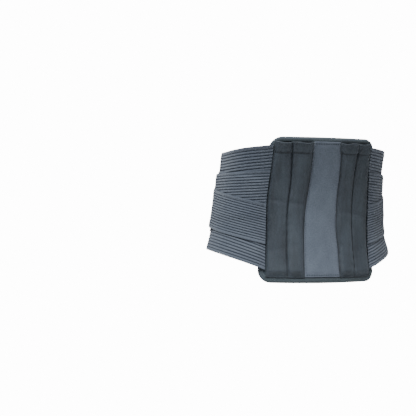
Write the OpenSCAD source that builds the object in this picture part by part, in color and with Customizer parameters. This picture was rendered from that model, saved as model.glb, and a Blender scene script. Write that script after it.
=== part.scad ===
// Lumbar support belt, closed round a waist: a padded back panel with four stays, two elastic
// wings that meet under a hook-and-loop closure, and two elastic pull straps with finger tabs.
// The wearer faces -Y, so the closure is at -Y and the back panel at +Y. Left is the wearer's left.

/* [Waist loop] */
// Radius of the arc across the back
back_radius = 228; // [224:1:232]
// Half angle of the arc across the back
back_angle = 26.5; // [26:0.5:27]
// Radius of the arcs at the sides
side_radius = 90; // [87:1:92]
// Half angle of the arc across the front
front_angle = 27; // [26.5:0.5:27.5]

/* [Side profile] */
// Radius of the hollow that the back panel and the stays are bent to
lumbar_radius = 450; // [430:10:480]
// Height of the deepest point of that hollow
lumbar_z = -17; // [-20:1:-14]
// Outward slope of the wings towards the hips
flare_slope = 0.08; // [0.07:0.005:0.09]
// How fast the wings' lower edges bell out
bell = 0.001; // [0.0008:0.0001:0.001]
// Height below which they bell out
bell_z = 20; // [10:5:25]

/* [Back panel] */
// Height of the back panel
panel_h = 240; // [238:1:242]
// Half width of the pocket field, along the surface
pocket_half = 95; // [95:0.5:97]
// How much less it is at the top
pocket_taper = 11; // [9:0.5:11]
// Width of the pad that shows outside the pocket field
pad_margin = 7; // [6:0.5:8]
// Extra width of the pad at its foot
pad_spread = 5; // [0:1:6]
// Radius of the pad's corners
pad_corner = 20; // [16:1:24]
// Half width of the centre strip at its top and at its foot
strip_half_top = 22; // [20:0.5:23]
strip_half_foot = 31; // [28:0.5:31.5]
// Thickness of the foam pad
foam_t = 6.7; // [5:0.1:7]

/* [Stays] */
// Width of a stay
stay_w = 16; // [12:1:16]
// Thickness of a stay
stay_t = 1.6; // [1:0.1:1.8]
// Heights of its ends
stay_foot_z = -100; // [-102:1:-90]
stay_top_z = 108; // [100:1:109]
// Length of the dipped tip on each end
tip_l = 14; // [10:1:18]

/* [Wings] */
// Height of the wings' upper edge at the back panel and at the sides
top_back = 110; // [107:0.5:110.5]
top_side = 99; // [97:1:101]
// Height of that edge at the front, where the two wings cross
vee_z = 52; // [50:1:54]
// Width of the upper elastic band
upper_band_w = 112; // [105:1:118]
// Height of the lower band's foot at the back panel, at the sides and at the front
foot_back = -102; // [-103:1:-100]
foot_side = -75; // [-77:1:-73]
foot_front = -82; // [-84:1:-80]
// How far the left wing's end reaches past the middle of the front
tongue = 32; // [28:1:36]

/* [Pull straps] */
// Width of each of a strap's two elastic bands
pull_band_w = 70; // [66:1:72]
// Distance along the loop, from the middle of the back, where a strap comes free of its wing
strap_free = 130; // [126:1:134]
// Distance along the loop of the strap's sewn-on finger tab
tab_start = 250; // [246:1:254]
// Height of a finger tab
tab_h = 93; // [90:1:95]

/* [Closure] */
// Heights of the closure flap's top and foot
flap_top = 52; // [51:1:53]
flap_foot = -89; // [-90:1:-88]
// Slant of its sewn edge, and of the ends of the loop patches, in mm along the loop per mm of height
end_slant = 0.16; // [0.14:0.005:0.165]

/* [Hidden] */
// Distances outward from the body surface that each layer fills, from its inner to its outer face.
// Pieces on different bodies stay at least half a millimetre apart.
LINER = [-9.0, -8.1];
FOAM = [-8.0, -8.0 + foam_t];
COVER = [-1.2, -0.2];
STRIP = [0.2, 1.4];
POCKET_T = 1.2;
CHANNEL_TOP = 3.6;
TIP_T = [0.2, 2.8];
UPPER_BAND = [0.3, 1.9];
LOWER_BAND = [2.2, 3.9];
PATCH = [4.1, 5.1];
PULL_UPPER = [5.7, 7.3];
PULL_LOWER = [7.6, 9.2];
TAB_HOOK = [5.7, 7.2];
TAB_FACE = [7.4, 9.2];
FLAP_HOOK = [5.9, 7.0];
FLAP_FACE = [7.2, 8.8];
SEAM_TAPE = [10.3, 11.3];
// The right wing's front end rises over the left wing's tongue and patch.
LIFT = 6.2;
LIFT_RAMP = 42;
FLAP_RISE = 2.4;

step = 9;         // spacing of the facets along the loop
row = 17;         // spacing of the facets up the height
joint_gap = 0.8;  // gap between two bodies' ends at a hinge
stay_u = [44, 72];  // places of the stays, from the middle of the back
fine = 64;        // facets of a round

function radians(a) = a * PI / 180;
function degrees(a) = a * 180 / PI;
function smooth(x) = let (c = min(1, max(0, x))) c * c * (3 - 2 * c);
function mix(a, b, t) = a + (b - a) * t;

// Centres and lengths of the arcs that make the loop, tangent to each other.
back_cy = -(back_radius + (back_radius - side_radius) * cos(back_angle)
    + (front_radius_raw() - side_radius) * cos(front_angle) - front_radius_raw()) / 2;
side_cx = (back_radius - side_radius) * sin(back_angle);
side_cy = back_cy + (back_radius - side_radius) * cos(back_angle);
front_radius = front_radius_raw();
front_cy = side_cy + (front_radius - side_radius) * cos(front_angle);
back_len = back_radius * radians(back_angle);
side_len = side_radius * radians(180 - back_angle - front_angle);
loop_half = back_len + side_len + front_radius * radians(front_angle);
widest = back_len + side_radius * radians(90 - back_angle);
half_width = side_cx + side_radius;

function front_radius_raw() =
    side_radius + (back_radius - side_radius) * sin(back_angle) / sin(front_angle);

// The arc that holds a place a millimetres along the loop: its centre and radius.
function arc_at(a) =
    a < back_len ? [0, back_cy, back_radius]
    : a < back_len + side_len ? [side_cx, side_cy, side_radius]
    : [0, front_cy, front_radius];
// The angle of the outward normal there, from +Y towards +X.
function heading(a) =
    a < back_len ? degrees(a / back_radius)
    : a < back_len + side_len ? back_angle + degrees((a - back_len) / side_radius)
    : 180 - front_angle + degrees((a - back_len - side_len) / front_radius);
function plan(a) = let (c = arc_at(a), h = heading(a)) [c[0] + c[2] * sin(h), c[1] + c[2] * cos(h)];
// The place along the loop that lies x millimetres to the left of the middle of the front.
function along_front(x) = loop_half - radians(front_radius * asin(x / front_radius));

// How far the body surface stands out at each height: the lumbar hollow at the back, a flare elsewhere.
function hollow(z) = lumbar_radius - sqrt(pow(lumbar_radius, 2) - pow(z - lumbar_z, 2));
function hollow_rate(z) = (z - lumbar_z) / sqrt(pow(lumbar_radius, 2) - pow(z - lumbar_z, 2));
function flare(z) = -flare_slope * z + bell * pow(max(0, bell_z - z), 2);
function flare_rate(z) = -flare_slope - 2 * bell * max(0, bell_z - z);
function side_share(a) = smooth((a - pocket_half - pad_margin) / (widest - pocket_half - pad_margin));
function lean(a, z) = mix(hollow(z), flare(z), side_share(a));
function lean_angle(a, z) = atan(mix(hollow_rate(z), flare_rate(z), side_share(a)));

// A point u along the loop (negative on the right), at height z, d outward from the body surface.
function place(u, z, d) = let (
    a = abs(u),
    c = plan(a),
    h = heading(a),
    tilt = lean_angle(a, z),
    out = lean(a, z) + d * cos(tilt))
    [(u < 0 ? -1 : 1) * (c[0] + sin(h) * out), c[1] + cos(h) * out, z - d * sin(tilt)];

// Places from one distance along the loop to another. All sheets share the places in between,
// so that the facets of one layer lie along those of the next.
function places(from, to) = concat(
    [from],
    [for (k = [ceil((from + 2) / step) : floor((to - 2) / step)]) k * step],
    [to]);
function shares(length) = let (n = max(1, ceil(length / row))) [for (k = [0 : n]) k / n];

// A closed sheet between two layers. at(s, t) gives [u, z]; inner and outer give d from (u, z).
module sheet(ss, ts, at, inner, outer) {
    ns = len(ss);
    nt = len(ts);
    points = [for (face = [inner, outer], s = ss, t = ts)
        let (p = at(s, t)) place(p[0], p[1], face(p[0], p[1]))];
    function id(k, i, j) = (k * ns + i) * nt + j;
    function quad(a, b, c, d) = [[a, b, c], [a, c, d]];
    skins = [for (i = [0 : ns - 2], j = [0 : nt - 2]) each concat(
        quad(id(1, i, j), id(1, i + 1, j), id(1, i + 1, j + 1), id(1, i, j + 1)),
        quad(id(0, i + 1, j), id(0, i, j), id(0, i, j + 1), id(0, i + 1, j + 1)))];
    level_edges = [for (i = [0 : ns - 2]) each concat(
        quad(id(1, i + 1, 0), id(1, i, 0), id(0, i, 0), id(0, i + 1, 0)),
        quad(id(1, i, nt - 1), id(1, i + 1, nt - 1), id(0, i + 1, nt - 1), id(0, i, nt - 1)))];
    end_edges = [for (j = [0 : nt - 2]) each concat(
        quad(id(1, 0, j), id(1, 0, j + 1), id(0, 0, j + 1), id(0, 0, j)),
        quad(id(1, ns - 1, j + 1), id(1, ns - 1, j), id(0, ns - 1, j), id(0, ns - 1, j + 1)))];
    polyhedron(points, concat(skins, level_edges, end_edges), convexity = 8);
}

// A sheet of constant layer between two edges, each given as a height at a place along the loop.
module band(ss, ts, low, high, layer, warp = function (s, z) s, rise = function (a) 0) {
    sheet(ss, ts,
        function (s, t) let (z = mix(low(s), high(s), t)) [warp(s, z), z],
        function (u, z) layer[0] + rise(abs(u)),
        function (u, z) layer[1] + rise(abs(u)));
}

module on_right() {
    mirror([1, 0, 0]) children();
}

// ---- Back panel -------------------------------------------------------------------------------

// The pocket field narrows a little towards its top.
function pocket_edge(z) = pocket_half - pocket_taper * smooth(z / (panel_h / 2));
function pad_edge(z, inset = 0) = let (
    r = pad_corner - inset,
    drop = min(r, max(0, abs(z) - panel_h / 2 + pad_corner)))
    pocket_edge(z) + pad_margin + pad_spread * smooth(-z / (panel_h / 2))
        - pad_corner + sqrt(r * r - drop * drop);
// Heights of the pad's rows, closer together round its corners.
function pad_rows(inset) = let (
    straight = panel_h / 2 - pad_corner,
    n = ceil(2 * straight / row))
    concat(
        [for (k = [0 : 3]) -straight - (pad_corner - inset) * cos(k * 22.5)],
        [for (k = [0 : n]) -straight + 2 * straight * k / n],
        [for (k = [3 : -1 : 0]) straight + (pad_corner - inset) * cos(k * 22.5)]);

pad_inset = 0.7;  // gap between the pad's layers and the tape round its edge

module pad_layer(layer) {
    sheet([for (k = [-6 : 6]) k / 6], pad_rows(pad_inset),
        function (s, z) [s * pad_edge(z, pad_inset), z],
        function (u, z) layer[0],
        function (u, z) layer[1]);
}

module inner_liner() {
    color("dimgray") pad_layer(LINER);
}

module foam_pad() {
    color("lightgray") pad_layer(FOAM);
}

module back_cover() {
    color("darkslategray") pad_layer(COVER);
}

// The folded tape round the pad's edge, swept round the outline as a flat rim.
module edge_binding() {
    rim = 2.4;
    thick = [LINER[0] - 0.2, COVER[1]];
    rows = pad_rows(0);
    n = len(rows);
    outline = concat(
        [for (k = [0 : n - 1]) [pad_edge(rows[k]), rows[k]]],
        [for (k = [1 : 5]) [pad_edge(rows[n - 1]) * (1 - k / 3), rows[n - 1]]],
        [for (k = [n - 1 : -1 : 0]) [-pad_edge(rows[k]), rows[k]]],
        [for (k = [1 : 5]) [-pad_edge(rows[0]) * (1 - k / 3), rows[0]]]);
    m = len(outline);
    // The rim runs straight out from the outline, along the mean of its two neighbouring edges.
    function away(k) = let (
        p = outline[(k + m - 1) % m],
        q = outline[(k + 1) % m],
        along = (q - p) / norm(q - p))
        [along[1], -along[0]];
    points = [for (k = [0 : m - 1], corner = [[0, 1], [0.7, 1], [1, 0.75], [1, 0.25], [0.7, 0], [0, 0]])
        let (p = outline[k] + away(k) * rim * corner[0])
        place(p[0], p[1], mix(thick[0], thick[1], corner[1]))];
    faces = [for (k = [0 : m - 1], c = [0 : 5]) let (
        a = k * 6 + c,
        b = k * 6 + (c + 1) % 6,
        c2 = ((k + 1) % m) * 6 + (c + 1) % 6,
        d = ((k + 1) % m) * 6 + c) each [[a, c2, b], [a, d, c2]]];
    color("darkslategray") polyhedron(points, faces, convexity = 8);
}

// The strip is cut by hand: its left edge sweeps out early, its right edge swells, dips and swells again.
function strip_left(z) = mix(strip_half_foot, strip_half_top, smooth((z + 30) / 120));
function strip_right(z) = mix(strip_half_foot - 5, strip_half_foot - 1.2, smooth((-z - 25) / 50))
    + 1.8 * exp(-pow((z - 58) / 25, 2)) - 4.5 * smooth((z - 85) / 30);
strip_foot_z = -panel_h / 2 + 7;
strip_top_z = panel_h / 2 - 4;

module center_strip() {
    color("slategray") band([for (k = [-3 : 3]) k / 3], shares(strip_top_z - strip_foot_z),
        function (s) strip_foot_z, function (s) strip_top_z, STRIP,
        function (s, z) s * (s > 0 ? strip_left(z) : strip_right(z)));
}

pocket_foot_z = -panel_h / 2 + 6;
pocket_top_z = panel_h / 2 - 3.5;
channel_half = stay_w / 2 + 1.4;  // half the width of a channel's roof, which clears the tips
channel_skirt = 2.2;  // width of the slope from the roof down to the seam

// One side's pair of stay channels: a single sheet, sewn down between and beside the two stays, from
// the strip's edge out to the pad's.
module pocket_pair(inner_edge) {
    function roof(u) = let (off = min([for (c = stay_u) abs(u - c)]))
        1 - min(1, max(0, (off - channel_half) / channel_skirt));
    edge_gap = 0.6;
    stations = concat([-1], [for (c = stay_u, o = [-1, 1], k = [1, 0])
        c + o * (channel_half + channel_skirt * (o < 0 ? k : 1 - k))], [-2]);
    sheet(stations, shares(pocket_top_z - pocket_foot_z),
        function (s, t) let (z = mix(pocket_foot_z, pocket_top_z, t))
            [s == -1 ? inner_edge(z) + edge_gap : s == -2 ? pocket_edge(z) : s, z],
        function (u, z) mix(STRIP[0], CHANNEL_TOP, roof(u)),
        function (u, z) mix(STRIP[0], CHANNEL_TOP, roof(u)) + POCKET_T);
}

module pocket_pair_left() {
    color("darkslategray") pocket_pair(function (z) strip_left(z));
}

module pocket_pair_right() {
    color("darkslategray") on_right() pocket_pair(function (z) strip_right(z));
}

// ---- Stays ------------------------------------------------------------------------------------

function bend(z) = asin((z - lumbar_z) / lumbar_radius);

// A bar bent to the lumbar hollow, at place u, between two heights and two layers.
module bent_bar(u, width, layer, from, to) {
    c = plan(u);
    h = heading(u);
    translate([c[0] + sin(h) * lumbar_radius, c[1] + cos(h) * lumbar_radius, lumbar_z])
        rotate([90, 0, -90 - h])
            rotate([0, 0, from])
                rotate_extrude(angle = to - from, $fn = 180)
                    translate([lumbar_radius - layer[1], -width / 2])
                        square([layer[1] - layer[0], width]);
}

stay_mid = (TIP_T[0] + TIP_T[1]) / 2;
stay_layer = [stay_mid - stay_t / 2, stay_mid + stay_t / 2];

module stay(u) {
    color("silver") bent_bar(u, stay_w, stay_layer, bend(stay_foot_z), bend(stay_top_z));
}

module stay_tips(u) {
    tip_w = stay_w + 1.6;
    tip_angle = degrees(tip_l / lumbar_radius);
    over = degrees(1.2 / lumbar_radius);
    color("black") difference() {
        union() {
            bent_bar(u, tip_w, TIP_T, bend(stay_foot_z) - over, bend(stay_foot_z) + tip_angle);
            bent_bar(u, tip_w, TIP_T, bend(stay_top_z) - tip_angle, bend(stay_top_z) + over);
        }
        bent_bar(u, stay_w, stay_layer, bend(stay_foot_z), bend(stay_top_z));
    }
}

// ---- Wings ------------------------------------------------------------------------------------

// The wings start just outside the pocket field and follow its edge.
root_gap = 1.5;
function root(z) = pocket_edge(z) + root_gap;
function from_root(s, z) = s <= pocket_half + root_gap ? root(z) : s;
root_s = pocket_half + root_gap;

// A steep start that flattens out, from 0 to 1.
function ease(t) = 1 - pow(1 - min(1, max(0, t)), 1.6);
function side_ease(a) = ease((a - root_s) / (widest - root_s));

function wing_upper_edge(a) = a < widest ? mix(top_back, top_side, side_ease(a))
    : mix(vee_z, top_side, plan(a)[0] / half_width);
function wing_lower_edge(a) = a < widest ? mix(foot_back, foot_side, side_ease(a))
    : mix(foot_side, foot_front, smooth((a - widest) / (loop_half - widest)));
// The lower band's upper selvage.
lower_top_back = 40;
lower_top_side = 66;
lower_top_front = vee_z - 5;
function lower_band_top(a) = a < widest ? mix(lower_top_back, lower_top_side, side_ease(a))
    : mix(lower_top_side, lower_top_front, smooth((a - widest) / (loop_half - widest)));

// The right wing ends on a slant under the closure's sewn edge.
slant_from = loop_half - 42;
sewn_mid = loop_half - 7;
sewn_mid_z = -16;
function sewn_end(z) = sewn_mid + end_slant * (z - sewn_mid_z);
function right_warp(s, z) = s < slant_from ? from_root(s, z)
    : slant_from + (s - slant_from) * (sewn_end(z) - slant_from) / (sewn_mid - slant_from);
function lift(a) = LIFT * smooth((a - slant_from + LIFT_RAMP) / LIFT_RAMP);
function no_lift(a) = 0;

module upper_band(to, warp, rise) {
    color("slategray") band(places(root_s, to), shares(upper_band_w),
        function (a) wing_upper_edge(a) - upper_band_w, function (a) wing_upper_edge(a),
        UPPER_BAND, warp, rise);
}

module lower_band(to, warp, rise) {
    color("slategray") band(places(root_s, to), shares(140),
        function (a) wing_lower_edge(a), function (a) lower_band_top(a),
        LOWER_BAND, warp, rise);
}

left_end = loop_half + tongue;

module left_upper_band() {
    upper_band(left_end, function (s, z) from_root(s, z), function (a) no_lift(a));
}

module left_lower_band() {
    lower_band(left_end, function (s, z) from_root(s, z), function (a) no_lift(a));
}

module right_upper_band() {
    on_right() upper_band(sewn_mid, function (s, z) right_warp(s, z), function (a) lift(a));
}

module right_lower_band() {
    on_right() lower_band(sewn_mid, function (s, z) right_warp(s, z), function (a) lift(a));
}

// The loop patches that the tabs and the closure's hooks take hold of.
patch_from = tab_start - 15;
function patch_top(a) = mix(58, 47, smooth((a - patch_from) / 90));
function patch_foot(a) = mix(-44, -57, smooth((a - patch_from) / 90));
right_patch_end = loop_half - 74;

module left_loop_patch() {
    to = loop_half + 8;
    color("darkslategray") band(places(patch_from, to), shares(110),
        function (a) patch_foot(a), function (a) patch_top(a), PATCH);
}

module right_loop_patch() {
    slant_at = right_patch_end - 20;
    color("darkslategray") on_right() band(places(patch_from, right_patch_end), shares(110),
        function (a) patch_foot(a), function (a) patch_top(a), PATCH,
        function (s, z) s < slant_at ? s : slant_at + (s - slant_at) * (1 + end_slant * (z + 3) / 20),
        function (a) lift(a));
}

// A binding folded over the end of the left wing.
module left_end_binding() {
    wrap = 3;
    color("darkslategray") band([left_end + 0.2, left_end + 0.2 + wrap], shares(130),
        function (a) foot_front, function (a) lower_top_front,
        [UPPER_BAND[0], LOWER_BAND[1]]);
}

// The tape sewn over the end of the right wing, beside the closure flap.
module closure_seam_tape() {
    tape_w = 6;
    color("darkslategray") on_right() sheet([-tape_w, 0], shares(flap_top - flap_foot),
        function (s, t) let (z = mix(flap_foot + 5, lower_top_front, t)) [sewn_end(z) + s, z],
        function (u, z) SEAM_TAPE[0],
        function (u, z) SEAM_TAPE[1]);
}

// ---- Pull straps ------------------------------------------------------------------------------

function strap_share(a) = ease((a - root_s) / (tab_start - root_s));
function pull_upper_top(a) = mix(68, 60, strap_share(a));
function pull_lower_top(a) = mix(11, 35, strap_share(a));

module pull_upper_band(from, to) {
    color("gray") band(places(from, to), shares(pull_band_w),
        function (a) pull_upper_top(a) - pull_band_w, function (a) pull_upper_top(a), PULL_UPPER,
        function (s, z) from_root(s, z));
}

module pull_lower_band(from, to) {
    color("gray") band(places(from, to), shares(pull_band_w),
        function (a) pull_lower_top(a) - pull_band_w, function (a) pull_lower_top(a), PULL_LOWER,
        function (s, z) from_root(s, z));
}

// The sewn-down start of a strap, which stays on its wing.
module strap_root() {
    pull_upper_band(root_s, strap_free - joint_gap);
    pull_lower_band(root_s, strap_free - joint_gap);
}

module left_strap_root() {
    strap_root();
}

module right_strap_root() {
    on_right() strap_root();
}

module left_pull_upper() {
    pull_upper_band(strap_free, tab_start - joint_gap);
}

module left_pull_lower() {
    pull_lower_band(strap_free, tab_start - joint_gap);
}

module right_pull_upper() {
    on_right() left_pull_upper();
}

module right_pull_lower() {
    on_right() left_pull_lower();
}

// Width of a finger tab at shares of its height from its foot: a wave to grip. Both tabs are cut
// to the one shape, and the right one is sewn on the other way up.
tab_wave = [[0, 23], [0.04, 27], [0.1, 29.5], [0.2, 31.5], [0.32, 33.5], [0.45, 34], [0.57, 31.5],
    [0.68, 30.5], [0.8, 33.5], [0.89, 32], [0.96, 28], [1, 23]];
tab_top_z = 54;

module tab_sheet(layer, from, trim, turned) {
    last = len(tab_wave) - 1;
    rows = [for (k = [0 : last]) turned ? 1 - tab_wave[last - k][0] : tab_wave[k][0]];
    sheet([0, 0.25, 0.5, 0.75, 1], rows,
        function (s, t) let (width = lookup(turned ? 1 - t : t, tab_wave))
            [tab_start + mix(from, width - trim, s), tab_top_z - tab_h * (1 - t)],
        function (u, z) layer[0],
        function (u, z) layer[1]);
}

module tab_face(turned = false) {
    color("lightslategray") tab_sheet(TAB_FACE, 0, 0, turned);
}

module tab_hook(turned = false) {
    color("dimgray") tab_sheet(TAB_HOOK, 2, 4, turned);
}

module left_tab_face() {
    tab_face();
}

module left_tab_hook() {
    tab_hook();
}

module right_tab_face() {
    on_right() tab_face(turned = true);
}

module right_tab_hook() {
    on_right() tab_hook(turned = true);
}

// ---- Closure flap -----------------------------------------------------------------------------

// The sewn edge, as a distance along the loop counted the left wing's way round.
function flap_root(z) = 2 * loop_half - sewn_end(z) - joint_gap;
// The free edge, as distances to the left of the middle of the front at heights from the foot up:
// a grip that waves in, out round a wide lobe, and in again.
flap_wave = [[-89, 34], [-86, 42], [-80, 46.5], [-70, 50], [-60, 54], [-47, 70], [-36, 77], [-24, 80],
    [-7, 78], [4, 71], [14, 64], [22, 63], [31, 65], [39, 62.5], [44, 56], [47, 46]];
flap_free_top = 47;  // height of its top at the free side

function flap_rise(u, z) = FLAP_RISE * (1 - smooth((flap_root(z) - u) / 16));

module closure_face() {
    rows = [for (p = flap_wave) (p[0] - flap_foot) / (flap_free_top - flap_foot)];
    color("lightslategray") sheet([for (k = [0 : 10]) k / 10], rows,
        function (s, t) let (
            free_z = mix(flap_foot, flap_free_top, t),
            z = mix(free_z, mix(flap_foot + 3, flap_top, t), s))
            [mix(along_front(lookup(free_z, flap_wave)), flap_root(z), s), z],
        function (u, z) FLAP_FACE[0] + flap_rise(u, z),
        function (u, z) FLAP_FACE[1] + flap_rise(u, z));
}

// The hook sheet under the flap, out to the line of stitches short of the grip.
hook_edge_foot = 36;
hook_edge_top = 52;

module closure_hook() {
    inset = 18;
    low = flap_foot + 8;
    high = flap_free_top - 4;
    color("dimgray") sheet([for (k = [0 : 5]) k / 5], shares(high - low),
        function (s, t) let (z = mix(low, high, t))
            [mix(along_front(mix(hook_edge_foot, hook_edge_top, t)), flap_root(z) - inset, s), z],
        function (u, z) FLAP_HOOK[0],
        function (u, z) FLAP_HOOK[1]);
}

inner_liner();
foam_pad();
back_cover();
edge_binding();
center_strip();
pocket_pair_left();
pocket_pair_right();
stay(stay_u[0]);  // stay_left_inner
stay(stay_u[1]);  // stay_left_outer
on_right() stay(stay_u[0]);  // stay_right_inner
on_right() stay(stay_u[1]);  // stay_right_outer
stay_tips(stay_u[0]);  // tips_left_inner
stay_tips(stay_u[1]);  // tips_left_outer
on_right() stay_tips(stay_u[0]);  // tips_right_inner
on_right() stay_tips(stay_u[1]);  // tips_right_outer
left_upper_band();
left_lower_band();
left_loop_patch();
left_end_binding();
left_strap_root();
right_upper_band();
right_lower_band();
right_loop_patch();
closure_seam_tape();
right_strap_root();
left_pull_upper();
left_pull_lower();
left_tab_face();
left_tab_hook();
right_pull_upper();
right_pull_lower();
right_tab_face();
right_tab_hook();
closure_face();
closure_hook();
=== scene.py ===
"""Lumbar support belt, seen from behind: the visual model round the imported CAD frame."""
import math
import bpy
import numpy as np
from mathutils import Matrix, Vector
from mathutils.bvhtree import BVHTree


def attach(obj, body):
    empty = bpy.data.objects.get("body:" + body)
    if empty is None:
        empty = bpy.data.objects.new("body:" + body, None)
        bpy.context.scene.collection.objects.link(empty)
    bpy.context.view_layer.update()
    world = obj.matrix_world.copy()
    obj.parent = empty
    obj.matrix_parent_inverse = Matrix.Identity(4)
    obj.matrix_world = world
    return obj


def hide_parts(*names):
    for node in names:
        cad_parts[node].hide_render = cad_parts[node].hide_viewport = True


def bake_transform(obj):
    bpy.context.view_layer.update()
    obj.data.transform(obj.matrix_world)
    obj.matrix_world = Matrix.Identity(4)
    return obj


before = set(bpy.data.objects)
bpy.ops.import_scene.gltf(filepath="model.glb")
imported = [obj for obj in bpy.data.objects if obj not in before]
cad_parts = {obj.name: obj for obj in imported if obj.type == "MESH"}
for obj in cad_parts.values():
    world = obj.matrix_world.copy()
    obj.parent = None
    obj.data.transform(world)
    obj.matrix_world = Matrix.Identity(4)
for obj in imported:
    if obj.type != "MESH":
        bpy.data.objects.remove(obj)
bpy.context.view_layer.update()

MM = 0.001
RNG = np.random.default_rng(7)
SIDES = ((1, "left"), (-1, "right"))

# ---- The belt's surface, in millimetres, as in part.scad ----

BACK_RADIUS, BACK_ANGLE = 228.0, math.radians(26.5)
SIDE_RADIUS, FRONT_ANGLE = 90.0, math.radians(27.0)
LUMBAR_RADIUS, LUMBAR_Z = 450.0, -17.0
FLARE_SLOPE, BELL, BELL_Z = 0.08, 0.001, 20.0
PANEL_H, POCKET_HALF, POCKET_TAPER = 240.0, 95.0, 11.0
PAD_MARGIN, PAD_SPREAD, PAD_CORNER = 7.0, 5.0, 20.0
STRIP_HALF_TOP, STRIP_HALF_FOOT = 22.0, 31.0
TOP_BACK, TOP_SIDE, VEE_Z, UPPER_BAND_W = 110.0, 99.0, 52.0, 112.0
FOOT_BACK, FOOT_SIDE, FOOT_FRONT, TONGUE = -102.0, -75.0, -82.0, 32.0
PULL_W, STRAP_FREE, TAB_START, TAB_H, TAB_TOP = 70.0, 130.0, 250.0, 93.0, 54.0
FLAP_TOP, FLAP_FOOT, FLAP_FREE_TOP, END_SLANT = 52.0, -89.0, 47.0, 0.16
LIFT, LIFT_RAMP, FLAP_RISE = 6.2, 42.0, 2.4
JOINT_GAP, ROOT_GAP = 0.8, 1.5

FRONT_RADIUS = SIDE_RADIUS + (BACK_RADIUS - SIDE_RADIUS) * math.sin(BACK_ANGLE) / math.sin(FRONT_ANGLE)
BACK_CY = -(BACK_RADIUS + (BACK_RADIUS - SIDE_RADIUS) * math.cos(BACK_ANGLE)
            + (FRONT_RADIUS - SIDE_RADIUS) * math.cos(FRONT_ANGLE) - FRONT_RADIUS) / 2
SIDE_CX = (BACK_RADIUS - SIDE_RADIUS) * math.sin(BACK_ANGLE)
SIDE_CY = BACK_CY + (BACK_RADIUS - SIDE_RADIUS) * math.cos(BACK_ANGLE)
FRONT_CY = SIDE_CY + (FRONT_RADIUS - SIDE_RADIUS) * math.cos(FRONT_ANGLE)
BACK_LEN = BACK_RADIUS * BACK_ANGLE
SIDE_END = BACK_LEN + SIDE_RADIUS * (math.pi - BACK_ANGLE - FRONT_ANGLE)
LOOP_HALF = SIDE_END + FRONT_RADIUS * FRONT_ANGLE
WIDEST = BACK_LEN + SIDE_RADIUS * (math.pi / 2 - BACK_ANGLE)
HALF_WIDTH = SIDE_CX + SIDE_RADIUS


def smooth(x):
    c = np.clip(x, 0.0, 1.0)
    return c * c * (3 - 2 * c)


def mix(a, b, t):
    return a + (b - a) * t


def bell(x, width=1.0):
    return np.exp(-(x / width)**2)


def heading(a):
    return np.where(a < BACK_LEN, a / BACK_RADIUS,
                    np.where(a < SIDE_END, BACK_ANGLE + (a - BACK_LEN) / SIDE_RADIUS,
                             math.pi - FRONT_ANGLE + (a - SIDE_END) / FRONT_RADIUS))


def plan(a):
    h = heading(a)
    at_back, at_side = a < BACK_LEN, a < SIDE_END
    cx = np.where(at_back, 0.0, np.where(at_side, SIDE_CX, 0.0))
    cy = np.where(at_back, BACK_CY, np.where(at_side, SIDE_CY, FRONT_CY))
    r = np.where(at_back, BACK_RADIUS, np.where(at_side, SIDE_RADIUS, FRONT_RADIUS))
    return cx + r * np.sin(h), cy + r * np.cos(h), h


def hollow(z):
    return LUMBAR_RADIUS - np.sqrt(LUMBAR_RADIUS**2 - (z - LUMBAR_Z)**2)


def lean(a, z):
    k = smooth((a - POCKET_HALF - PAD_MARGIN) / (WIDEST - POCKET_HALF - PAD_MARGIN))
    flare = -FLARE_SLOPE * z + BELL * np.maximum(0, BELL_Z - z)**2
    flare_rate = -FLARE_SLOPE - 2 * BELL * np.maximum(0, BELL_Z - z)
    hollow_rate = (z - LUMBAR_Z) / np.sqrt(LUMBAR_RADIUS**2 - (z - LUMBAR_Z)**2)
    return mix(hollow(z), flare, k), np.arctan(mix(hollow_rate, flare_rate, k))


def place(u, z, d, side=1):
    """The point u along the loop, z up it and d outward from the body, in metres."""
    u, z, d = np.broadcast_arrays(np.asarray(u, float), np.asarray(z, float), np.asarray(d, float))
    a = np.abs(u)
    x, y, h = plan(a)
    stand, tilt = lean(a, z)
    out = stand + d * np.cos(tilt)
    sign = np.where(u < 0, -1.0, 1.0) * side
    return np.stack([sign * (x + np.sin(h) * out), y + np.cos(h) * out, z - d * np.sin(tilt)], -1) * MM


def along_front(x):
    return LOOP_HALF - FRONT_RADIUS * np.arcsin(x / FRONT_RADIUS)


def pocket_edge(z):
    return POCKET_HALF - POCKET_TAPER * smooth(z / (PANEL_H / 2))


def strip_left(z):
    return mix(STRIP_HALF_FOOT, STRIP_HALF_TOP, smooth((z + 30) / 120))


def strip_right(z):
    return (mix(STRIP_HALF_FOOT - 5, STRIP_HALF_FOOT - 1.2, smooth((-z - 25) / 50))
            + 1.8 * bell(z - 58, 25) - 4.5 * smooth((z - 85) / 30))


def strip_edge(z, side):
    return strip_left(z) if side > 0 else strip_right(z)


def pad_edge(z, inset=0.0):
    r = PAD_CORNER - inset
    drop = np.minimum(r, np.maximum(0, np.abs(z) - PANEL_H / 2 + PAD_CORNER))
    return (pocket_edge(z) + PAD_MARGIN + PAD_SPREAD * smooth(-z / (PANEL_H / 2))
            - PAD_CORNER + np.sqrt(r * r - drop * drop))


ROOT_S = POCKET_HALF + ROOT_GAP


def root(z):
    return pocket_edge(z) + ROOT_GAP


def side_ease(a, end=None):
    end = WIDEST if end is None else end
    return 1 - (1 - np.clip((a - ROOT_S) / (end - ROOT_S), 0, 1))**1.6


def wing_top(a):
    return np.where(a < WIDEST, mix(TOP_BACK, TOP_SIDE, side_ease(a)),
                    mix(VEE_Z, TOP_SIDE, plan(a)[0] / HALF_WIDTH))


def wing_foot(a):
    front = smooth((a - WIDEST) / (LOOP_HALF - WIDEST))
    return np.where(a < WIDEST, mix(FOOT_BACK, FOOT_SIDE, side_ease(a)), mix(FOOT_SIDE, FOOT_FRONT, front))


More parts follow.
